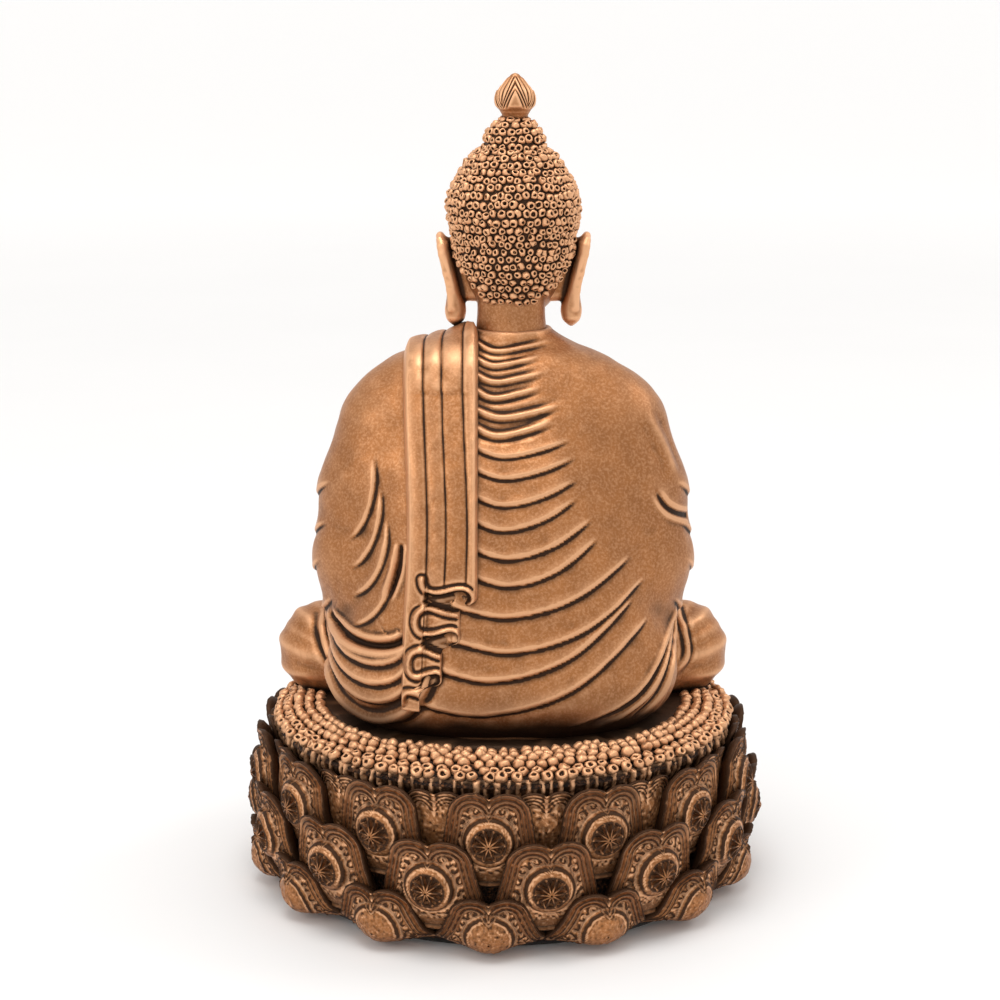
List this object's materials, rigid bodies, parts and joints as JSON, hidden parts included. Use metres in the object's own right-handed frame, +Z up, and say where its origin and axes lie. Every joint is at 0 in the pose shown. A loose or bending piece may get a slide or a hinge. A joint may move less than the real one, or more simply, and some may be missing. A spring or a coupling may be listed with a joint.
{
  "type": "seated meditation statue",
  "caption": "Copper-finish seated meditation figure in a draped robe on a round lotus throne with beaded seat and ornamented petals.",
  "frame": {"origin": "centre of the underside, on the axis of the round throne", "axes": "+Z up through the finial, -Y the way the figure faces, +X towards the figure's left"},
  "size_m": [0.145, 0.145, 0.22],
  "materials": {
    "robe_copper": "satin copper paint with dark patina",
    "skin_copper": "satin copper paint, bright at the edges",
    "hair_copper": "copper paint with near-black patina in the curls",
    "throne_copper": "copper paint with near-black patina in the carving",
    "dowel_wood": "plain beech dowel",
    "felt": "dark felt"
  },
  "bodies": {
    "root": {"felt_pad": "felt", "throne_core": "throne_copper", "stamen_ring": "throne_copper", "seat_plate": "throne_copper", "petals_lower": "throne_copper", "petals_middle": "throne_copper", "petals_upper": "throne_copper", "petals_inner": "throne_copper", "bead_row_1": "throne_copper", "bead_row_2": "throne_copper", "bead_row_3": "throne_copper", "bead_row_4": "throne_copper", "bead_row_5": "throne_copper", "seat_pegs": "dowel_wood", "neck_peg": "dowel_wood", "figure_base": "robe_copper", "torso": "skin_copper", "outer_robe": "robe_copper", "shawl": "robe_copper", "arm_left": "robe_copper", "arm_right": "robe_copper", "hand_left": "skin_copper", "hand_right": "skin_copper", "foot_right": "skin_copper", "leg_left": "robe_copper", "leg_right": "robe_copper", "front_hem": "robe_copper", "collar_left": "robe_copper", "collar_right": "robe_copper", "head": "skin_copper", "neck": "skin_copper", "hair_cap": "hair_copper", "ushnisha": "hair_copper", "finial": "hair_copper", "ear_left": "skin_copper", "ear_right": "skin_copper"}
  },
  "joints": []
}
